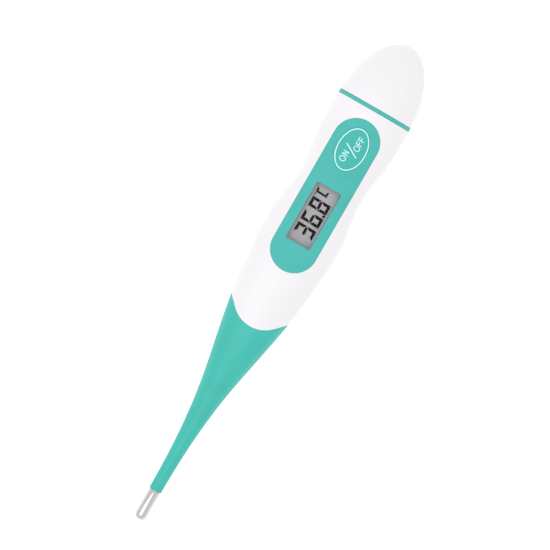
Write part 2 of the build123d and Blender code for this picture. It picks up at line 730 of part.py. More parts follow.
neck_space = rod(NECK_R, SLEEVE_END_Y, SLEEVE_END_Y + NECK_LENGTH)
for index, pivot in enumerate(PIVOTS):
    last = index == len(PIVOTS) - 1
    end_y = SLEEVE_END_Y if last else rim_y(PIVOTS[index + 1])
    if last:
        far_space = neck_space
    else:
        far_space = ball(ball_radius(PIVOTS[index + 1]) + BALL_CLEARANCE, PIVOTS[index + 1])
    stretch = sleeve_bar(end_y, pivot)
    knuckle = ball(ball_radius(pivot), pivot)
    with BuildPart() as sleeve_piece:
        add(stretch)
        add(knuckle)
        add(axis_space, mode=Mode.SUBTRACT)
        add(far_space, mode=Mode.SUBTRACT)
    sleeve_piece.part.label = f"sleeve_{index + 1}"
    export_step(sleeve_piece.part, f"parts/sleeve_{index + 1}.step")

# ---------------------------------------------------------------- metal tip and sensor
tip_outside = tip_bar(METAL_R, SLEEVE_END_Y)
tip_inside = tip_bar(METAL_R - METAL_WALL, SLEEVE_END_Y - METAL_WALL)
neck_bore = rod(NECK_R - NECK_WALL, SLEEVE_END_Y - 1, SLEEVE_END_Y + NECK_LENGTH)
with BuildPart() as metal_tip:
    add(tip_outside)
    add(neck_space)
    add(tip_inside, mode=Mode.SUBTRACT)
    add(neck_bore, mode=Mode.SUBTRACT)
metal_tip.part.label = "metal_tip"
export_step(metal_tip.part, "parts/metal_tip.step")

with BuildPart() as sensor_bead:
    add(ball(BEAD_R, BEAD_Y))
    add(leads_space, mode=Mode.SUBTRACT)
sensor_bead.part.label = "sensor_bead"
export_step(sensor_bead.part, "parts/sensor_bead.step")

with BuildPart() as tip_potting:
    add(tip_bar(METAL_R - METAL_WALL, POTTING_REAR_Y))
    add(ball(BEAD_R, BEAD_Y), mode=Mode.SUBTRACT)
    add(leads_space, mode=Mode.SUBTRACT)
tip_potting.part.label = "tip_potting"
export_step(tip_potting.part, "parts/tip_potting.step")

with BuildPart() as sensor_leads:
    add(leads_space)
sensor_leads.part.label = "sensor_leads"
export_step(sensor_leads.part, "parts/sensor_leads.step")
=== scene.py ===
"""The look of the digital thermometer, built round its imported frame. Lengths are metres."""

import json
import math

import bmesh
import bpy
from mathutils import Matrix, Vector

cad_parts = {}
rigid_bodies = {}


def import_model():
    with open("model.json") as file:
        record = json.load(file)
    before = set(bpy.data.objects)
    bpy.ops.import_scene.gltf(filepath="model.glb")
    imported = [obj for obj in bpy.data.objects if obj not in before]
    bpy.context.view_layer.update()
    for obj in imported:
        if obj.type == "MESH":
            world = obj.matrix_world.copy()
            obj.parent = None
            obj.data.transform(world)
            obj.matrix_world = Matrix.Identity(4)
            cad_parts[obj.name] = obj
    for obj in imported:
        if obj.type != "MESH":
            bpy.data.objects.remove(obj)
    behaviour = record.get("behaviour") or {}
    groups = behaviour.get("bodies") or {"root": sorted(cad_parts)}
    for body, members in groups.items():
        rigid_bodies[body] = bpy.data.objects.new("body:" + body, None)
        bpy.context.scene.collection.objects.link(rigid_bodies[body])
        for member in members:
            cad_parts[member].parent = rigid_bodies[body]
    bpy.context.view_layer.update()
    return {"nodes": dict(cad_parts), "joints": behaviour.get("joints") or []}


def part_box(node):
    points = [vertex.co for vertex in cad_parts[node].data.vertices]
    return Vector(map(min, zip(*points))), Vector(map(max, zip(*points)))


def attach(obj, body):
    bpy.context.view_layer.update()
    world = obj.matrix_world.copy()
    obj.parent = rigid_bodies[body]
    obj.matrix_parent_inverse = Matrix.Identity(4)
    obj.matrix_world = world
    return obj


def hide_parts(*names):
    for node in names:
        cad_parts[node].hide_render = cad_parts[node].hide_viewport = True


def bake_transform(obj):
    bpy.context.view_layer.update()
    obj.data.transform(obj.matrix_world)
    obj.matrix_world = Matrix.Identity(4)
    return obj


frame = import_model()

MM = 0.001
NEAR = 1e-7  # points this close count as one

# ------------------------------------------------------------------ sizes, from the frame where it has them
SEAL_LOW, SEAL_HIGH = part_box("cap_seal")
PANEL_LOW, PANEL_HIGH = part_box("front_panel")
LENS_LOW, LENS_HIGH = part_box("display_lens")
KEY_LOW, KEY_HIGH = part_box("power_button")
TIP_LOW, TIP_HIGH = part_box("metal_tip")
GLASS_LOW, GLASS_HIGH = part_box("lcd_front_glass")
CELL_LOW, CELL_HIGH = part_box("button_cell")
CAP_LOW, CAP_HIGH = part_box("battery_cap")
PIVOTS = [j["pos_m"][1] for j in frame["joints"] if j["name"].startswith("bend")]
BENDS = [(j["parent"], j["child"]) for j in frame["joints"] if j["name"].startswith("bend")]
AXIS_Z = (TIP_LOW.z + TIP_HIGH.z) / 2
NECK_LENGTH = 2.6 * MM
NECK_R = 1.15 * MM
SLEEVE_END = TIP_HIGH.y - NECK_LENGTH
WALL = 1.9 * MM
CAP_WALL = 1.5 * MM
DIP = -0.3 * MM  # how far the rounded form would reach below the flat back
PANEL_DEPTH = 0.8 * MM
WINDOW_X, WINDOW_Y = 3.5 * MM, 8.1 * MM  # half sizes of the display window
WINDOW_CORNER = 0.35 * MM
LENS_THICK = 0.9 * MM
LENS_CORNER = 0.3 * MM
LENS_RECESS = 0.12 * MM
# thickness and width of the thin dark frame of painted shade round the display window
PAINTED_SHADE_THICK = 0.02 * MM
PAINTED_EDGE_SHADE_WIDTH = 0.22 * MM
KEY_THICK = 0.7 * MM
KEY_FLANGE = 0.5 * MM
KEY_FLANGE_THICK = 0.35 * MM
KEY_STEM_R = 1.6 * MM
KEY_STEM_LENGTH = 2.6 * MM
WELL_MARGIN = 0.2 * MM
WELL_FLOOR = 2.05 * MM  # above the foot of the key's stem
WELL_HEIGHT = 8 * MM
GAP = 0.05 * MM
FLAT = 20 * MM  # level at which flat plates are made before they are laid on the form
CUT_FROM, CUT_TO = 8 * MM, 30 * MM  # upright cuts through the front reach between these levels
CELL_X, CELL_Y = 0.8 * MM, 1.2 * MM  # steps of the net that lets a plate follow the form
PARTING_TIP = -12.6 * MM
PARTING_R = 7.9 * MM
ROUND_Y = -28 * MM
HANDLE_SQUARENESS = 2.5  # superellipse exponent; 2 is a plain ellipse
COLLAR_TOP = 4.32 * MM
COLLAR_SIDE = 8.25 * MM
COLLAR_WALL = 0.8 * MM
COLLAR_Z = 6.1 * MM
RIM_ROUND = 0.12 * MM
SEAL_GAP = 0.02 * MM
SEAL_ROUND = 0.14 * MM
WIRE_R = 0.12 * MM
CELL_STEP = 0.3 * MM


# ------------------------------------------------------------------ modelling steps
def pick(piece):
    """Makes one object the only selected and active one."""
    bpy.ops.object.select_all(action="DESELECT")
    piece.select_set(True)
    bpy.context.view_layer.objects.active = piece


def named(name):
    """Names the active object and its mesh."""
    piece = bpy.context.object
    piece.name = piece.data.name = name
    return piece


def enter(piece):
    pick(piece)
    bpy.ops.object.mode_set(mode="EDIT")


def leave():
    bpy.ops.object.mode_set(mode="OBJECT")


def choose(kind, test):
    """In edit mode, selects only the vertices, edges or faces that pass the test."""
    bpy.ops.mesh.select_mode(type=kind)
    bpy.ops.mesh.select_all(action="DESELECT")
    mesh = bmesh.from_edit_mesh(bpy.context.object.data)
    mesh.normal_update()
    for item in {"VERT": mesh.verts, "EDGE": mesh.edges, "FACE": mesh.faces}[kind]:
        if test(item):
            item.select_set(True)
    bmesh.update_edit_mesh(bpy.context.object.data)


def apply_place(piece):
    pick(piece)
    bpy.ops.object.transform_apply(location=True, rotation=True, scale=True)


def copy_of(piece, name):
    pick(piece)
    bpy.ops.object.duplicate()
    return named(name)


def box(name, low, high):
    """A block between two corners."""
    middle = [(a + b) / 2 for a, b in zip(low, high)]
    bpy.ops.object.select_all(action="DESELECT")
    bpy.ops.mesh.primitive_cube_add(size=1, location=middle, scale=[b - a for a, b in zip(low, high)])
    apply_place(bpy.context.object)
    return named(name)


def drum(name, middle, half_x, half_y, height, sides=96):
    """An upright oval cylinder round a middle point."""
    bpy.ops.object.select_all(action="DESELECT")
    bpy.ops.mesh.primitive_cylinder_add(vertices=sides, radius=1, depth=height, location=middle,
                                        scale=(half_x, half_y, 1))
    apply_place(bpy.context.object)
    return named(name)


def carve(piece, tool, operation="DIFFERENCE"):
    """Cuts a tool out of a piece, or joins or intersects them, and throws the tool away."""
    pick(piece)
    bpy.ops.object.modifier_add(type="BOOLEAN")
    cut = piece.modifiers[-1]
    cut.operation = operation
    cut.solver = "EXACT"
    cut.object = tool
    bpy.ops.object.modifier_apply(modifier=cut.name)
    bpy.data.objects.remove(tool)


def joined(pieces, name):
    """All the pieces as one object, with the first one's place in the scene."""
    pick(pieces[0])
    for piece in pieces:
        piece.select_set(True)
    bpy.ops.object.join()
    return named(name)


def cut_off(piece, point, normal):
    """Removes what lies on the normal's side of a plane, and closes the cut."""
    enter(piece)
    bpy.ops.mesh.select_all(action="SELECT")
    bpy.ops.mesh.bisect(plane_co=point, plane_no=normal, use_fill=True, clear_outer=True, threshold=NEAR)
    bpy.ops.mesh.select_all(action="SELECT")
    bpy.ops.mesh.normals_make_consistent(inside=False)
    leave()


def stretch(source, name, y_low, y_high):
    """A copy of the form between two places along it."""
    piece = copy_of(source, name)
    cut_off(piece, (0, y_low, 0), (0, -1, 0))
    cut_off(piece, (0, y_high, 0), (0, 1, 0))
    return piece


def round_edges(piece, radius, test, segments=3):
    """Bevels the edges that pass the test."""
    enter(piece)
    choose("EDGE", test)
    bpy.ops.mesh.bevel(offset=radius, segments=segments, affect="EDGES")
    leave()


def upright(edge):
    """The edges that stand up."""
    a, b = (v.co for v in edge.verts)
    return abs(a.z - b.z) > 0.9 * (a - b).length


def level(edge):
    """The edges of an upright drum's two ends."""
    a, b = (v.co for v in edge.verts)
    return abs(a.z - b.z) < NEAR


def rim_at(y):
    """A test for the outer edges of the flat end at y."""
    return lambda e: (all(abs(v.co.y - y) < 1e-6 for v in e.verts)
                      and any(abs(f.normal.y) < 0.7 for f in e.link_faces))


def top_edge(e):
    """The edges where a flat plate's top meets its sides."""
    return (all(abs(v.co.z - FLAT) < NEAR for v in e.verts)
            and any(abs(f.normal.z) < 0.5 for f in e.link_faces))


def smooth(piece, degrees=38):
    pick(piece)
    bpy.ops.object.shade_smooth_by_angle(angle=math.radians(degrees))


def net(piece, step_x, step_y):
    """Cuts a flat piece into small cells, so that it can follow a curved surface."""
    xs = [v.co.x for v in piece.data.vertices]
    ys = [v.co.y for v in piece.data.vertices]
    cuts = [((1, 0, 0), min(xs), max(xs), step_x), ((0, 1, 0), min(ys), max(ys), step_y)]
    enter(piece)
    for normal, low, high, step in cuts:
        count = max(1, round((high - low) / step))
        for index in range(1, count):
            place = low + (high - low) * index / count
            bpy.ops.mesh.select_all(action="SELECT")
            bpy.ops.mesh.bisect(plane_co=[n * place for n in normal], plane_no=normal, threshold=NEAR)
    leave()


def lay_on(piece, form, lift=0.0):
    """Moves a flat piece's points down onto the top of the form, each by its own drop."""
    bpy.context.view_layer.update()
    down = Vector((0, 0, -1))
    for v in piece.data.vertices:
        hit, spot, _, _ = form.ray_cast(Vector((v.co.x, v.co.y, FLAT)), down)
        if hit:
            v.co.z += spot.z - FLAT + lift
    piece.data.update()


# ------------------------------------------------------------------ the outer form, as one smooth body
def girth(y):
    """Half width, top and bottom at y of the CAD's sleeve, shell, seal or cap. The soft panel isn't measured."""
    found = []
    for name in ("sleeve_root", "housing", "cap_seal", "battery_cap"):
        data = frame["nodes"][name].data
        points = [v.co for v in data.vertices]
        for edge in data.edges:
            a, b = points[edge.vertices[0]], points[edge.vertices[1]]
            if (a.y - y) * (b.y - y) <= 0 and a.y != b.y:
                found.append(a.lerp(b, (y - a.y) / (b.y - a.y)))
    half = max(abs(p.x) for p in found)
    return half, max(p.z for p in found), min(p.z for p in found)


def sleeve_radius(y):
    """The round part of the probe thins by a power law down to its end."""
    end, start, power = 1.7 * MM, 4.33 * MM, 2.27
    return end + (start - end) * max(0.0, (y - SLEEVE_END) / (ROUND_Y - SLEEVE_END)) ** power


def ring(y, half, top, bottom, squareness, inset=0.0):
    """An eight-point ring that smooths into a superellipse of this size."""
    corner = 2 ** (-1 / squareness)
    spread = (4 * corner - 1) / (4 - 2 * corner)
    reach = 6 / (4 + 2 * spread)
    middle = Vector((0, y, (top + bottom) / 2))
    side = (half - inset) * reach
    height = ((top - bottom) / 2 - inset) * reach
    bpy.ops.mesh.primitive_circle_add(vertices=8, radius=side, location=middle, rotation=(math.pi / 2, 0, 0))
    bpy.ops.transform.resize(value=(1, 1, height / side), center_override=middle)
    mesh = bmesh.from_edit_mesh(bpy.context.object.data)
    for v in mesh.verts:
        if v.select and min(abs(v.co.x), abs(v.co.z - middle.z)) < 0.05 * MM:
            v.select_set(False)
    bmesh.update_edit_mesh(bpy.context.object.data)
    grow = spread * math.sqrt(2)
    bpy.ops.transform.resize(value=(grow, 1, grow), center_override=middle)


def squareness_at(y):
    """Round at the probe, squarer over the handle."""
    share = min(1.0, max(0.0, (y - ROUND_Y) / (0 - ROUND_Y)))
    return 2.0 + (HANDLE_SQUARENESS - 2.0) * share


def outside_rings():
    """The sections of the whole outside, from the sleeve's end to the dome."""
    rows = []
    lip = 0.5 * MM
    for y in (SLEEVE_END, SLEEVE_END + 0.12 * MM, SLEEVE_END + lip):
        rows.append((y, sleeve_radius(y) - (0.25 * MM if y == SLEEVE_END else 0)))
    sleeve_steps = 9
    for step in range(1, sleeve_steps + 1):
        y = SLEEVE_END + lip + (ROUND_Y - SLEEVE_END - lip) * step / sleeve_steps
        rows.append((y, sleeve_radius(y)))
    rows = [(y, r, AXIS_Z + r, AXIS_Z - r, 2.0) for y, r in rows]
    handle_steps = 21
    for step in range(1, handle_steps + 1):
        y = ROUND_Y + (SEAL_LOW.y - ROUND_Y) * step / handle_steps
        half, top, bottom = girth(y)
        rows.append((y, half, top, DIP if bottom < 0.02 * MM else bottom, squareness_at(y)))
    dome_steps = 10
    dome_end = math.pi / 2 * dome_steps / (dome_steps + 0.3)
    _, half, top, bottom, _ = rows[-1]
    middle = (top + bottom) / 2
    for step in range(1, dome_steps + 1):
        angle = dome_end * step / dome_steps
        y = SEAL_LOW.y + (CAP_HIGH.y - SEAL_LOW.y) * math.sin(angle) / math.sin(dome_end)
        shrink = math.cos(angle)
        dome_top = middle + (top - middle) * shrink
        dome_bottom = middle + (bottom - middle) * shrink
        rows.append((y, half * shrink, dome_top, dome_bottom, HANDLE_SQUARENESS))
    return rows


def lofted(name, rows, inset=0.0):
    """Rings bridged into one closed body and smoothed."""
    bpy.ops.object.select_all(action="DESELECT")
    bpy.ops.mesh.primitive_circle_add(vertices=8, radius=MM)
    piece = named(name)
    enter(piece)
    bpy.ops.mesh.delete(type="VERT")
    for row in rows:
        ring(*row, inset=inset)
    bpy.ops.mesh.select_all(action="SELECT")
    bpy.ops.mesh.bridge_edge_loops()
    for y in (rows[0][0], rows[-1][0]):
        choose("VERT", lambda v: abs(v.co.y - y) < 1e-6)
        bpy.ops.mesh.edge_face_add()
    bpy.ops.mesh.select_all(action="SELECT")
    bpy.ops.mesh.normals_make_consistent(inside=False)
    leave()
    bpy.ops.object.modifier_add(type="SUBSURF")
    rounding = piece.modifiers[-1]
    rounding.levels = rounding.render_levels = 3
    bpy.ops.object.modifier_apply(modifier=rounding.name)
    return piece


rows = outside_rings()
form = lofted("form", rows)
cut_off(form, (0, 0, 0), (0, 0, -1))  # the flat back
inner_form = lofted("inner_form", [row for row in rows if row[0] > -12 * MM], inset=WALL)


# ------------------------------------------------------------------ shapes that are cut out or laid on
def flat_plate(name, low, high, thickness, corner, edge=0.0, corner_steps=24):
    """A plate with rounded corners, lying with its top at the flat level."""
    plate = box(name, (low[0], low[1], FLAT - thickness), (high[0], high[1], FLAT))
    round_edges(plate, corner, upright, corner_steps)
    if edge:
        round_edges(plate, edge, top_edge)
    return plate


def flat_oval(name, middle, half_x, half_y, thickness, edge=0.0):
    """An oval plate, lying with its top at the flat level."""
    plate = drum(name, (middle[0], middle[1], FLAT - thickness / 2), half_x, half_y, thickness)
    if edge:
        round_edges(plate, edge, top_edge)
    return plate


def shaft(name, low, high, corner, steps=24):
    """A tall block for cutting straight down, from the display's level upward."""
    tool = box(name, (low[0], low[1], CUT_FROM), (high[0], high[1], CUT_TO))
    round_edges(tool, corner, upright, steps)
    return tool


def parting_tool(name):
    """The space on the handle's side of the rounded V where handle and sleeve meet."""
    side = 60 * MM
    point = PARTING_TIP - PARTING_R * (math.sqrt(2) - 1)
    bpy.ops.object.select_all(action="DESELECT")
    bpy.ops.mesh.primitive_cube_add(size=side, location=(0, point + side * math.sqrt(0.5), 0),
                                    rotation=(0, 0, math.pi / 4))
    apply_place(bpy.context.object)
    tool = named(name)
    round_edges(tool, PARTING_R,
                lambda e: upright(e) and all(abs(v.co.x) < MM and v.co.y < 0 for v in e.verts), 32)
    return tool


window_middle = (LENS_LOW.y + LENS_HIGH.y) / 2
key_middle = (KEY_LOW.y + KEY_HIGH.y) / 2
KEY_X = (KEY_HIGH.x - KEY_LOW.x) / 2 - KEY_FLANGE
KEY_Y = (KEY_HIGH.y - KEY_LOW.y) / 2 - KEY_FLANGE


def window_corners(inset):
    """Low and high corners of the display window, drawn in by inset."""
    half_x, half_y = WINDOW_X - inset, WINDOW_Y - inset
    return (-half_x, window_middle - half_y), (half_x, window_middle + half_y)


def window_shaft(name, inset, corner):
    """A shaft on the display window's outline, drawn in by inset."""
    return shaft(name, *window_corners(inset), corner, 6)


# ------------------------------------------------------------------ handle shell
housing = stretch(form, "housing_shell", -18 * MM, SEAL_LOW.y)
round_edges(housing, RIM_ROUND, rim_at(SEAL_LOW.y))
carve(housing, parting_tool("parting"), "INTERSECT")
carve(housing, stretch(inner_form, "hollow", -5 * MM, SEAL_LOW.y + 1.0 * MM))
recess = shaft("recess", PANEL_LOW, PANEL_HIGH, (PANEL_HIGH.x - PANEL_LOW.x) / 2)
floor_form = copy_of(form, "floor_form")
bpy.ops.transform.translate(value=(0, 0, -PANEL_DEPTH))
apply_place(floor_form)
carve(recess, floor_form)
carve(housing, recess)
carve(housing, window_shaft("window_hole", 0, WINDOW_CORNER))
key_ledge = 0.6 * MM
carve(housing, drum("key_hole", (0, key_middle, (CUT_FROM + CUT_TO) / 2), KEY_X - key_ledge, KEY_Y - key_ledge,
                    CUT_TO - CUT_FROM))
well_side = KEY_FLANGE + WELL_MARGIN
carve(housing, drum("key_well", (0, key_middle, KEY_LOW.z + WELL_FLOOR + WELL_HEIGHT / 2), KEY_X + well_side,
                    KEY_Y + well_side, WELL_HEIGHT))
smooth(housing)

# ------------------------------------------------------------------ soft front panel, lens, painted shade round the window, key and printing
panel = flat_plate("front_panel_skin", PANEL_LOW, PANEL_HIGH, PANEL_DEPTH - 0.01 * MM,
                   (PANEL_HIGH.x - PANEL_LOW.x) / 2)
carve(panel, window_shaft("panel_window", 0, WINDOW_CORNER))
carve(panel, drum("panel_oval", (0, key_middle, FLAT), KEY_X + 0.03 * MM, KEY_Y + 0.03 * MM, 8 * MM))
round_edges(panel, 0.1 * MM, top_edge)
net(panel, CELL_X, CELL_Y)
lay_on(panel, form)
smooth(panel)

lens = flat_plate("lens_pane", *window_corners(GAP), LENS_THICK, LENS_CORNER, 0.06 * MM, 6)
net(lens, CELL_X, CELL_Y)
lay_on(lens, form, -LENS_RECESS)
smooth(lens)

# The thin dark frame laid on the lens's top round the window is painted shade: it stands in for the shadow at the
# window's edge.
painted_edge_shade = flat_plate("window_painted_edge_shade", *window_corners(GAP), PAINTED_SHADE_THICK, LENS_CORNER, 0, 6)
carve(painted_edge_shade, window_shaft("painted_edge_shade_hole", GAP + PAINTED_EDGE_SHADE_WIDTH, 0.15 * MM))
net(painted_edge_shade, CELL_X, CELL_Y)
lay_on(painted_edge_shade, form, PAINTED_SHADE_THICK - LENS_RECESS)

key = flat_oval("key_cap", (0, key_middle), KEY_X, KEY_Y, KEY_THICK, 0.1 * MM)
net(key, CELL_X, CELL_Y)
lay_on(key, form)
flange_z = KEY_LOW.z + KEY_STEM_LENGTH
cut_off(key, (0, 0, flange_z - 0.1 * MM), (0, 0, -1))
flange = drum("key_flange", (0, key_middle, flange_z), KEY_X + KEY_FLANGE, KEY_Y + KEY_FLANGE, KEY_FLANGE_THICK)
round_edges(flange, 0.06 * MM, level, 2)
stem = drum("key_stem", (0, key_middle, KEY_LOW.z + KEY_STEM_LENGTH / 2), KEY_STEM_R, KEY_STEM_R, KEY_STEM_LENGTH, 48)
key = joined([key, flange, stem], "key_cap")
smooth(key)

ring_x, ring_y, ring_width = KEY_X - 0.1 * MM, KEY_Y - 0.12 * MM, 0.25 * MM
key_ring = flat_oval("key_ring", (0, key_middle), ring_x, ring_y, 0.03 * MM)
carve(key_ring, drum("ring_hole", (0, key_middle, FLAT), ring_x - ring_width, ring_y - ring_width, 4 * MM))
net(key_ring, CELL_X, CELL_Y)
lay_on(key_ring, form, 0.02 * MM)


def stroke(name, points, closed=False, radius=0.1 * MM):
    """One printed pen stroke through points given along the key and up it, in millimetres."""
    bpy.ops.object.select_all(action="DESELECT")
    bpy.ops.curve.primitive_bezier_curve_add(location=(0, key_middle, FLAT))
    line = bpy.context.object
    spline = line.data.splines[0]
    spline.bezier_points.add(len(points) - 2)
    spline.use_cyclic_u = closed
    for knot, (along, up) in zip(spline.bezier_points, points):
        knot.handle_left_type = knot.handle_right_type = "AUTO" if closed else "VECTOR"
        knot.co = (-up * MM, along * MM, 0)
    spline.resolution_u = 12
    line.data.bevel_depth = radius
    line.data.bevel_resolution = 3
    line.data.use_fill_caps = not closed
    bpy.ops.object.convert(target="MESH")
    apply_place(bpy.context.object)
    enter(bpy.context.object)
    bpy.ops.mesh.select_all(action="SELECT")
    bpy.ops.mesh.remove_doubles(threshold=0.001 * MM)
    bpy.ops.mesh.normals_make_consistent(inside=False)
    leave()
    return named(name)


def letter_o(along, up):
    """Eight points round a letter O."""
    half_width, half_height = 0.6, 0.78
    return [(along + half_width * math.cos(math.pi * k / 4), up + half_height * math.sin(math.pi * k / 4))
            for k in range(8)]


LETTER_HALF = 0.76
strokes = [stroke("o_one", letter_o(-3.06, 0.93), closed=True)]
letter_n = [[(-0.43, -1.07), (-0.43, 1.07)], [(-0.43, 1), (0.43, -1)], [(0.43, -1.07), (0.43, 1.07)]]
letter_f = [[(-0.38, -1.07), (-0.38, 1.15)], [(-0.45, 1), (0.48, 1)], [(-0.45, 0.1), (0.36, 0.1)]]
for name, along, up, lines in (
    ("n", -1.54, 0.93, letter_n), ("f_one", 2.18, -1.0, letter_f), ("f_two", 3.36, -1.0, letter_f),
):
    for line in lines:
        strokes.append(stroke(name, [(along + a, up + LETTER_HALF * b) for a, b in line]))
strokes.append(stroke("o_two", letter_o(0.78, -1.0), closed=True))
strokes.append(stroke("slash", [(-1.4, -2.0), (0.8, 1.9)], radius=0.13 * MM))
for piece in strokes:
    net(piece, 0.6 * MM, 0.6 * MM)
legend = joined(strokes, "key_legend")
for v in legend.data.vertices:
    v.co.z = FLAT + (v.co.z - FLAT) * 0.25
lay_on(legend, form, 0.01 * MM)
smooth(legend, 60)

# ------------------------------------------------------------------ display
FIGURE_LOW, FIGURE_TOP = GLASS_HIGH.z + 0.005 * MM, GLASS_HIGH.z + 0.03 * MM
LEAN = 0.04
TURNS = {"a": -90, "d": 90, "g": 90, "f": 0, "e": 0, "l": 0, "b": 180, "c": 180}


def bar(name, length, pen, inner):
    """A display segment along X, a pen's width across: its ends are cut back by 45 degrees, on both sides or on
    the inner one."""
    piece = box(name, (-length / 2, -pen / 2, FIGURE_LOW), (length / 2, pen / 2, FIGURE_TOP))
    if inner:
        enter(piece)
        choose("VERT", lambda v: v.co.y > 0)
        bpy.ops.transform.resize(value=((length - 2 * pen) / length, 1, 1), center_override=(0, 0, 0))
        leave()
    else:
        round_edges(piece, pen / 2 * 0.98, upright, 1)
    return piece


def digit(name, along, top, width, height, pen, shown):
    """A figure of seven segments. Its up is -X and it reads along +Y; a to g go round from the top, then the middle.
    Segment l is a whole left side in one."""
    half = height / 2
    places = {"a": (0, 0, width), "d": (height, 0, width), "g": (half, 0, width - pen / 2),
              "f": (half / 2, -width / 2, half), "b": (half / 2, width / 2, half),
              "e": (half * 1.5, -width / 2, half), "c": (half * 1.5, width / 2, half),
              "l": (half, -width / 2, height)}
    made = []
    for letter in shown:
        down, side, length = places[letter]
        piece = bar(f"{name}_{letter}", length - 0.03 * MM, pen, letter != "g")
        inset = pen / 2
        piece.rotation_euler.z = math.radians(TURNS[letter])
        x = top + down + (inset if letter == "a" else -inset if letter == "d" else 0)
        y = along + side + (inset if letter in "fel" else -inset if letter in "bc" else 0)
        piece.location = (x, y, 0)
        apply_place(piece)
        made.append(piece)
    return made


glyphs = []
digits_top = -2.62 * MM
for name, along, shown in (("three", 15.15, "abcdg"), ("six", 18.72, "acdefg"), ("eight", 22.54, "abcdefg")):
    glyphs += digit(name, along * MM, digits_top, 2.7 * MM, 5.3 * MM, 0.75 * MM, shown)
glyphs += digit("unit", 25.9 * MM, digits_top, 1.6 * MM, 3.2 * MM, 0.55 * MM, "adl")
degree_r, degree_thick = 0.23 * MM, 0.024 * MM
glyphs.append(drum("degree", (-2.45 * MM, 24.66 * MM, FIGURE_TOP - degree_thick / 2), degree_r, degree_r,
                   degree_thick, 32))
point = box("point", (2.0 * MM, 20.4 * MM, FIGURE_LOW), (2.66 * MM, 21.05 * MM, FIGURE_TOP))
round_edges(point, 0.1 * MM, upright, 2)
glyphs.append(point)
figures = joined(glyphs, "display_figures")
for v in figures.data.vertices:
    v.co.y -= LEAN * v.co.x

# ------------------------------------------------------------------ battery cap and seal
cap = stretch(form, "cap_shell", SEAL_HIGH.y, CAP_HIGH.y + MM)
round_edges(cap, 0.1 * MM, rim_at(SEAL_HIGH.y))
cap_rows = [row for row in rows if row[0] > SEAL_LOW.y - 4 * MM]
cap_hollow = lofted("cap_hollow", cap_rows[:-1], inset=CAP_WALL)
cut_off(cap_hollow, (0, SEAL_HIGH.y - 0.5 * MM, 0), (0, -1, 0))
carve(cap, cap_hollow)


def along_y(edge):
    """The edges that run along the thermometer."""
    a, b = (v.co for v in edge.verts)
    return abs(a.y - b.y) > 0.9 * (a - b).length


def collar_body(name, low, high, half_width, half_height):
    """A rounded block along Y, of the cross-section of the cap's collar."""
    piece = box(name, (-half_width, low, COLLAR_Z - half_height), (half_width, high, COLLAR_Z + half_height))
    round_edges(piece, half_height * 0.995, along_y, 16)
    return piece


collar = collar_body("collar", CAP_LOW.y, SEAL_HIGH.y + 1.2 * MM, COLLAR_SIDE, COLLAR_TOP)
carve(collar, collar_body("collar_hole", CAP_LOW.y - MM, SEAL_HIGH.y + 2 * MM, COLLAR_SIDE - COLLAR_WALL,
                          COLLAR_TOP - COLLAR_WALL))
round_edges(collar, RIM_ROUND, lambda e: all(abs(v.co.y - CAP_LOW.y) < 1e-6 for v in e.verts), 3)
carve(cap, collar, "UNION")
smooth(cap)

seal_ends = SEAL_LOW.y + SEAL_GAP, SEAL_HIGH.y - SEAL_GAP
seal = stretch(form, "seal_ring", *seal_ends)
for end in seal_ends:
    round_edges(seal, SEAL_ROUND, rim_at(end))
carve(seal, collar_body("seal_hole", SEAL_LOW.y - MM, SEAL_HIGH.y + MM, COLLAR_SIDE, COLLAR_TOP))
smooth(seal)

# ------------------------------------------------------------------ flexible sleeve, in pieces that share their ends
cuts = [ROUND_Y] + [(a + b) / 2 for a, b in zip(PIVOTS, PIVOTS[1:])] + [PIVOTS[-1] - 2.5 * MM]
shoulder = stretch(form, "sleeve_shoulder", cuts[0], -6 * MM)
carve(shoulder, parting_tool("shoulder_parting"))
smooth(shoulder)


def rod(name, radius, y_low, y_high, sides=48, x=0.0):
    """A cylinder along the probe's axis, or beside it."""
    bpy.ops.object.select_all(action="DESELECT")
    bpy.ops.mesh.primitive_cylinder_add(vertices=sides, radius=radius, depth=y_high - y_low,
                                        location=(x, (y_low + y_high) / 2, AXIS_Z), rotation=(math.pi / 2, 0, 0))
    apply_place(bpy.context.object)
    return named(name)


bends = []
for index, (upper, lower) in enumerate(zip(cuts, cuts[1:])):
    bends.append(stretch(form, f"sleeve_bend_{index + 1}", lower, upper))
    smooth(bends[-1])
sleeve_end = stretch(form, "sleeve_end", SLEEVE_END - MM, cuts[-1])
carve(sleeve_end, rod("end_bore", NECK_R, SLEEVE_END - MM, TIP_HIGH.y + 0.02 * MM))
smooth(sleeve_end)

# the two wires down the middle, cut where the sleeve is
LEADS_LOW, LEADS_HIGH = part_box("sensor_leads")
wire_x = LEADS_HIGH.x - WIRE_R
wires = rod("lead_wires", WIRE_R, LEADS_LOW.y, LEADS_HIGH.y, 12, wire_x)
carve(wires, rod("second_wire", WIRE_R, LEADS_LOW.y, LEADS_HIGH.y, 12, -wire_x), "UNION")
net(wires, 1, 0.8 * MM)
wire_pieces = []
for index, (upper, lower) in enumerate(zip([LEADS_HIGH.y + MM] + cuts, cuts + [LEADS_LOW.y - MM])):
    wire_pieces.append(stretch(wires, f"lead_wires_{index}", lower, upper))
    smooth(wire_pieces[-1])

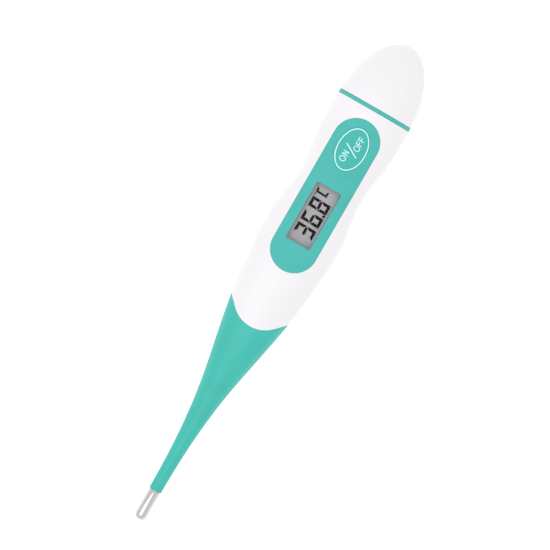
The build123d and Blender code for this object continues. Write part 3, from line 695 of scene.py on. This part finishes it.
# ------------------------------------------------------------------ metal tip
tip_radius = (TIP_HIGH.x - TIP_LOW.x) / 2
tip = rod("tip_shell", tip_radius, TIP_LOW.y, SLEEVE_END - 0.01 * MM, 72)
enter(tip)
choose("FACE", lambda f: f.normal.y > 0.9)
bpy.ops.mesh.inset(thickness=tip_radius - NECK_R)
bpy.ops.mesh.extrude_region_move(TRANSFORM_OT_translate={"value": (0, TIP_HIGH.y - SLEEVE_END, 0)})
leave()
round_edges(tip, 1.3 * MM, rim_at(TIP_LOW.y), 10)
round_edges(tip, 0.08 * MM, lambda e: all(abs(v.co.y - SLEEVE_END) < 0.02 * MM
                                          and (v.co - Vector((0, v.co.y, AXIS_Z))).length > tip_radius * 0.98
                                          for v in e.verts), 2)
smooth(tip, 45)

# ------------------------------------------------------------------ button cell, seen when the cap is off
cell_radius = (CELL_HIGH.x - CELL_LOW.x) / 2
cell_middle = (CELL_LOW.y + CELL_HIGH.y) / 2
cell = drum("cell_can", (0, cell_middle, (CELL_LOW.z + CELL_HIGH.z - CELL_STEP) / 2), cell_radius, cell_radius,
            CELL_HIGH.z - CELL_LOW.z - CELL_STEP)
round_edges(cell, 0.2 * MM, level)
enter(cell)
choose("FACE", lambda f: f.normal.z > 0.9)
bpy.ops.mesh.inset(thickness=0.25 * MM)
bpy.ops.mesh.extrude_region_move(TRANSFORM_OT_translate={"value": (0, 0, -0.15 * MM)})
bpy.ops.mesh.inset(thickness=0.25 * MM)
bpy.ops.mesh.extrude_region_move(TRANSFORM_OT_translate={"value": (0, 0, CELL_STEP + 0.15 * MM)})
leave()
round_edges(cell, 0.1 * MM, lambda e: all(abs(v.co.z - CELL_HIGH.z) < 1e-6 for v in e.verts), 2)
smooth(cell)

for helper in (form, inner_form, wires):
    bpy.data.objects.remove(helper)


# ------------------------------------------------------------------ finishes
def finish_of(name, colour, rough, spread=0.03, grain=1.0, bump=0.02, metal=0.0, stretch_to=(1, 1, 1), alpha=1.0,
              gloss=0.5):
    """A surface whose tone, roughness and height all wander a little, by noise in the piece's own space."""
    material = bpy.data.materials.new(name)
    material.use_nodes = True
    nodes, links = material.node_tree.nodes, material.node_tree.links
    surface = nodes["Principled BSDF"]
    place = nodes.new("ShaderNodeTexCoord")
    fit = nodes.new("ShaderNodeMapping")
    fit.inputs["Scale"].default_value = [1000 * s for s in stretch_to]
    links.new(place.outputs["Object"], fit.inputs["Vector"])

    def noise(scale, detail):
        node = nodes.new("ShaderNodeTexNoise")
        node.inputs["Scale"].default_value = scale
        node.inputs["Detail"].default_value = detail
        links.new(fit.outputs["Vector"], node.inputs["Vector"])
        return node.outputs["Fac"]

    tone = nodes.new("ShaderNodeValToRGB")
    tone.color_ramp.elements[0].position = 0.3
    tone.color_ramp.elements[1].position = 0.7
    tone.color_ramp.elements[0].color = [c * (1 - spread) for c in colour] + [1]
    tone.color_ramp.elements[1].color = [min(1, c * (1 + spread)) for c in colour] + [1]
    links.new(noise(0.35 * grain, 3), tone.inputs["Fac"])
    links.new(tone.outputs["Color"], surface.inputs["Base Color"])
    wear = nodes.new("ShaderNodeMapRange")
    wear.inputs["To Min"].default_value = rough * 0.9
    wear.inputs["To Max"].default_value = min(1, rough * 1.1)
    links.new(noise(1.3 * grain, 4), wear.inputs["Value"])
    links.new(wear.outputs["Result"], surface.inputs["Roughness"])
    if bump:
        relief = nodes.new("ShaderNodeBump")
        relief.inputs["Strength"].default_value = bump
        relief.inputs["Distance"].default_value = 0.0001
        links.new(noise(9 * grain, 2), relief.inputs["Height"])
        links.new(relief.outputs["Normal"], surface.inputs["Normal"])
    surface.inputs["Metallic"].default_value = metal
    surface.inputs["Alpha"].default_value = alpha
    surface.inputs["Specular IOR Level"].default_value = gloss
    return material


WHITE = finish_of("white_shell_abs", (0.745, 0.73, 0.745), 0.42, 0.008, 0.5, 0.03)
TEAL = finish_of("teal_panel_rubber", (0.046, 0.412, 0.370), 0.62, 0.03, 0.6, 0.08)
TEAL_KEY = finish_of("teal_key_rubber", (0.038, 0.400, 0.360), 0.62, 0.03, 0.6, 0.08)
TEAL_SLEEVE = finish_of("teal_sleeve_rubber", (0.030, 0.420, 0.360), 0.5, 0.03, 0.4, 0.05)
LENS = finish_of("lens_acrylic", (0.02, 0.022, 0.024), 0.06, 0.01, 0.3, 0.0, alpha=0.05, gloss=0.25)
PRINT = finish_of("white_print", (0.62, 0.88, 0.87), 0.5, 0.02, 1.0, 0.0)
# Dark grey of the frame round the window: painted shade for the shadow at the window's edge.
PAINTED_EDGE_SHADE = finish_of("window_edge_painted_shade", (0.15, 0.17, 0.20), 0.5, 0.05, 1.0, 0.0)
LCD = finish_of("display_film", (0.415, 0.40, 0.415), 0.55, 0.04, 0.5, 0.02)
FIGURE = finish_of("display_figure", (0.006, 0.005, 0.006), 0.6, 0.2, 1.0, 0.0, gloss=0.1)
STEEL = finish_of("polished_steel", (0.56, 0.56, 0.565), 0.12, 0.04, 0.8, 0.05, metal=1.0, stretch_to=(1, 0.15, 1))
NICKEL = finish_of("nickel_can", (0.72, 0.71, 0.69), 0.24, 0.05, 0.8, 0.06, metal=1.0)
SPRING = finish_of("contact_nickel", (0.66, 0.65, 0.63), 0.3, 0.06, 1.0, 0.08, metal=1.0)
GREY = finish_of("grey_abs", (0.30, 0.305, 0.31), 0.5, 0.03, 0.8, 0.06)
BLACK = finish_of("black_plastic", (0.015, 0.015, 0.016), 0.5, 0.1, 1.0, 0.05)
GLASS = finish_of("display_glass", (0.42, 0.45, 0.45), 0.12, 0.02, 0.5, 0.0)
ZEBRA = finish_of("zebra_rubber", (0.05, 0.05, 0.06), 0.7, 0.5, 4.0, 0.1, stretch_to=(0.1, 6, 0.1))
BOARD = finish_of("board_mask", (0.02, 0.13, 0.05), 0.35, 0.15, 1.0, 0.05)
EPOXY = finish_of("black_epoxy", (0.01, 0.01, 0.011), 0.25, 0.1, 1.0, 0.03)
CERAMIC = finish_of("component_ceramic", (0.30, 0.22, 0.14), 0.6, 0.1, 2.0, 0.05)
SOLDER = finish_of("solder", (0.60, 0.60, 0.61), 0.35, 0.08, 2.0, 0.1, metal=1.0)
BRASS = finish_of("buzzer_brass", (0.70, 0.50, 0.20), 0.3, 0.06, 1.0, 0.05, metal=1.0)
PIEZO = finish_of("buzzer_ceramic", (0.72, 0.69, 0.60), 0.55, 0.04, 1.0, 0.05)
POTTING = finish_of("potting_epoxy", (0.35, 0.22, 0.06), 0.35, 0.1, 1.0, 0.05)
ENAMEL = finish_of("lead_enamel", (0.38, 0.10, 0.03), 0.35, 0.1, 1.0, 0.0)


def dress(piece, material, body=None, replaces=()):
    """Gives a piece its finish, its body and the CAD nodes it stands for."""
    piece.data.materials.clear()
    piece.data.materials.append(material)
    if replaces:
        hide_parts(*replaces)
    if body:
        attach(piece, body)


dress(housing, WHITE, "root", ["housing"])
dress(panel, TEAL, "root", ["front_panel"])
dress(lens, LENS, "root", ["display_lens"])
dress(painted_edge_shade, PAINTED_EDGE_SHADE, "root")
dress(figures, FIGURE, "root")
dress(key, TEAL_KEY, "button", ["power_button"])
dress(key_ring, PRINT, "button")
dress(legend, PRINT, "button")
dress(cap, WHITE, "cap", ["battery_cap"])
dress(seal, TEAL, "cap", ["cap_seal"])
dress(shoulder, TEAL_SLEEVE, "root", ["sleeve_root"])
dress(wire_pieces[0], ENAMEL, "root", ["sensor_leads"])
for index, (parent, child) in enumerate(BENDS):
    dress(bends[index], TEAL_SLEEVE, None, [f"sleeve_{index + 1}"])
    dress(wire_pieces[index + 1], ENAMEL)
    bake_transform(bends[index])
    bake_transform(wire_pieces[index + 1])
last_body = BENDS[-1][1]
dress(sleeve_end, TEAL_SLEEVE, last_body)
dress(wire_pieces[-1], ENAMEL, last_body)
dress(tip, STEEL, last_body, ["metal_tip"])
dress(cell, NICKEL, "root", ["button_cell"])
for name, material in {
    "switch_plunger": BLACK, "switch_case": SPRING, "lcd_front_glass": LCD, "lcd_rear_glass": GLASS,
    "lcd_reflector": LCD, "zebra_strips": ZEBRA, "lcd_holder": GREY, "circuit_board": BOARD, "chip_blob": EPOXY,
    "small_components": CERAMIC, "crystal": SPRING, "solder_joints": SOLDER, "buzzer_plate": BRASS,
    "buzzer_ceramic": PIEZO, "inner_frame": GREY, "negative_contact": SPRING, "positive_contact": SPRING,
    "sensor_bead": EPOXY, "tip_potting": POTTING,
}.items():
    dress(frame["nodes"][name], material)

# ------------------------------------------------------------------ floor, light and camera
bpy.ops.object.select_all(action="DESELECT")
bpy.ops.mesh.primitive_plane_add(size=3, location=(0, 0, -0.05 * MM))
floor = named("studio_floor")
paper = finish_of("studio_paper", (0.50, 0.50, 0.50), 0.9, 0.01, 0.05, 0.0, gloss=0.0)
paper.node_tree.nodes["Principled BSDF"].inputs["Emission Color"].default_value = (1, 1, 1, 1)
paper.node_tree.nodes["Principled BSDF"].inputs["Emission Strength"].default_value = 0.75
floor.data.materials.append(paper)

scene = bpy.context.scene
scene.view_settings.view_transform = "Standard"
world = bpy.data.worlds.new("studio")
world.use_nodes = True
world.node_tree.nodes["Background"].inputs["Color"].default_value = (1, 1, 1, 1)
world.node_tree.nodes["Background"].inputs["Strength"].default_value = 1.0
scene.world = world


def soft_light(name, place, size, power):
    """A square light that faces the middle of the object."""
    bpy.ops.object.light_add(type="AREA", location=place)
    lamp = bpy.context.object
    lamp.name = name
    lamp.data.size = size
    lamp.data.energy = power
    lamp.rotation_euler = Vector(place).to_track_quat("Z", "Y").to_euler()
    return lamp


soft_light("key_light", (-0.16, -0.09, 0.9), 0.55, 2.2)

bpy.ops.object.camera_add(location=(-0.95 * MM, 1.77 * MM, 2.326), rotation=(0, 0, math.radians(30)))
camera = bpy.context.object
camera.data.sensor_width = 36
camera.data.lens = 600
camera.data.clip_start = 0.01
camera.data.clip_end = 10
scene.camera = camera
